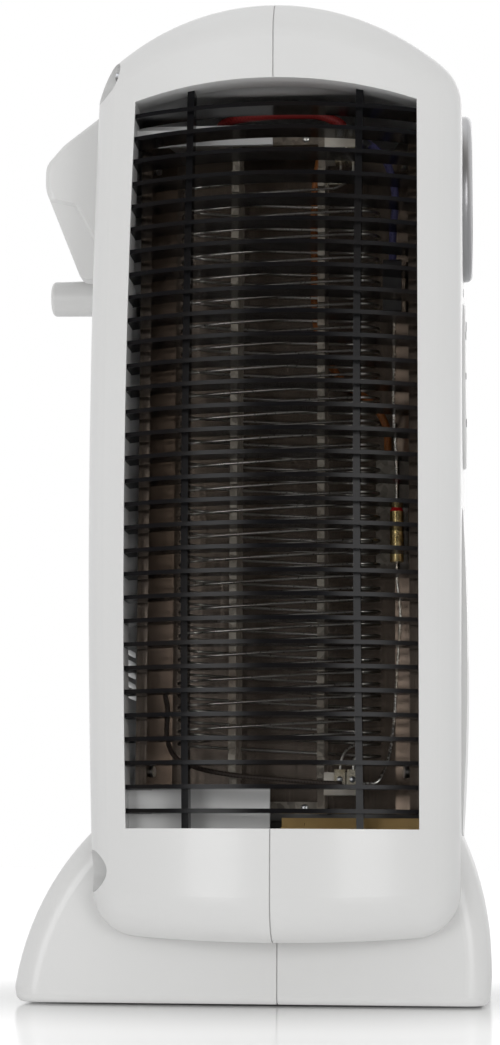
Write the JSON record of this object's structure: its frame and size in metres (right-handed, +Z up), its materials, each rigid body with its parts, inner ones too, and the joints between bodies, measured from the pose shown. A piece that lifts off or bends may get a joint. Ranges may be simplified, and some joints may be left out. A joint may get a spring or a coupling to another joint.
{
  "type": "upright fan heater",
  "caption": "Upright two-sided fan heater with bowed slatted side grilles, wire heating elements, front dials, a base fan, a rear carry handle and a cord peg.",
  "frame": {"origin": "middle of the overall box, on the floor that the feet stand on", "axes": "+Z up, +X towards the front with the dials, -Y towards the heater's left side"},
  "size_m": [0.1365, 0.15, 0.2875],
  "materials": {
    "casing": "semi-gloss white moulded plastic",
    "grille_black": "glossy black moulded plastic",
    "dial_silver": "silver-grey lacquered plastic",
    "inner_plastic": "dark heat-resisting plastic",
    "lamp_lens": "translucent amber lens",
    "zinc_screw": "zinc-plated steel",
    "base_dark": "black moulded plastic",
    "foot_rubber": "soft matte rubber",
    "lamination": "stacked electrical steel",
    "coil_copper": "enamelled copper under clear tape",
    "polished_steel": "polished sheet",
    "zinc_sheet": "zinc-coated sheet",
    "resistance_wire": "drawn resistance wire",
    "mica": "pressed mica board",
    "ceramic": "unglazed ceramic",
    "lug_brass": "plated brass",
    "cutout_black": "black phenolic",
    "fuse_gold": "gold-coloured metal case with sealing resin",
    "lead_red_sleeve": "red glass-fibre sleeve",
    "lead_blue_sleeve": "blue insulated lead",
    "lead_orange_sleeve": "orange insulated lead",
    "lead_dark_sleeve": "dark braided sleeve",
    "fan_black": "black moulded plastic",
    "nylon_white": "natural nylon"
  },
  "bodies": {
    "body": {"front_shell": "casing", "rear_shell": "casing", "side_grille_left": "grille_black", "side_grille_right": "grille_black", "thermostat_body": "inner_plastic", "selector_switch": "inner_plastic", "pilot_lamp": "lamp_lens", "front_cover": "casing", "rear_handle": "casing", "cord_peg": "casing", "shell_screws": "zinc_screw", "handle_screws": "zinc_screw", "base_plate": "base_dark", "rubber_feet": "foot_rubber", "base_screws": "zinc_screw", "air_deck": "inner_plastic", "fan_shroud": "inner_plastic", "motor_stator": "lamination", "motor_coil": "coil_copper", "motor_bracket_upper": "zinc_sheet", "motor_bracket_lower": "zinc_sheet", "motor_screws": "zinc_screw", "reflector_left": "polished_steel", "reflector_right": "polished_steel", "reflector_screws": "zinc_screw", "heating_wire_a_left": "resistance_wire", "heating_wire_a_right": "resistance_wire", "heating_wire_b_left": "resistance_wire", "heating_wire_b_right": "resistance_wire", "element_boards_left": "mica", "element_boards_right": "mica", "terminal_blocks_left": "ceramic", "terminal_blocks_right": "ceramic", "terminal_lugs_left": "lug_brass", "terminal_lugs_right": "lug_brass", "sill_liner_left": "zinc_sheet", "sill_liner_right": "zinc_sheet", "thermal_cutout": "cutout_black", "thermal_fuse": "fuse_gold", "fuse_card": "mica", "lead_red": "lead_red_sleeve", "lead_blue": "lead_blue_sleeve", "lead_orange": "lead_orange_sleeve", "lead_slack": "lead_dark_sleeve", "fuse_lead_upper": "polished_steel", "fuse_lead_lower": "polished_steel", "mains_block": "nylon_white", "cable_gland": "casing"},
    "fan": {"motor_rotor": "lamination", "fan_impeller": "fan_black"},
    "dial": {"thermostat_knob": "dial_silver"},
    "selector": {"selector_knob": "casing"}
  },
  "joints": [
    {"name": "fan_spin", "type": "hinge", "parent": "body", "child": "fan", "pos_m": [0.00775, 0, 0.038], "axis": [0, 0, 1], "continuous": true},
    {"name": "dial_turn", "type": "hinge", "parent": "body", "child": "dial", "pos_m": [0.06075, 0, 0.2453], "axis": [-1, 0, 0], "range_deg": [0, 285]},
    {"name": "selector_turn", "type": "hinge", "parent": "body", "child": "selector", "pos_m": [0.05975, 0, 0.186], "axis": [-1, 0, 0], "range_deg": [0, 135]}
  ]
}
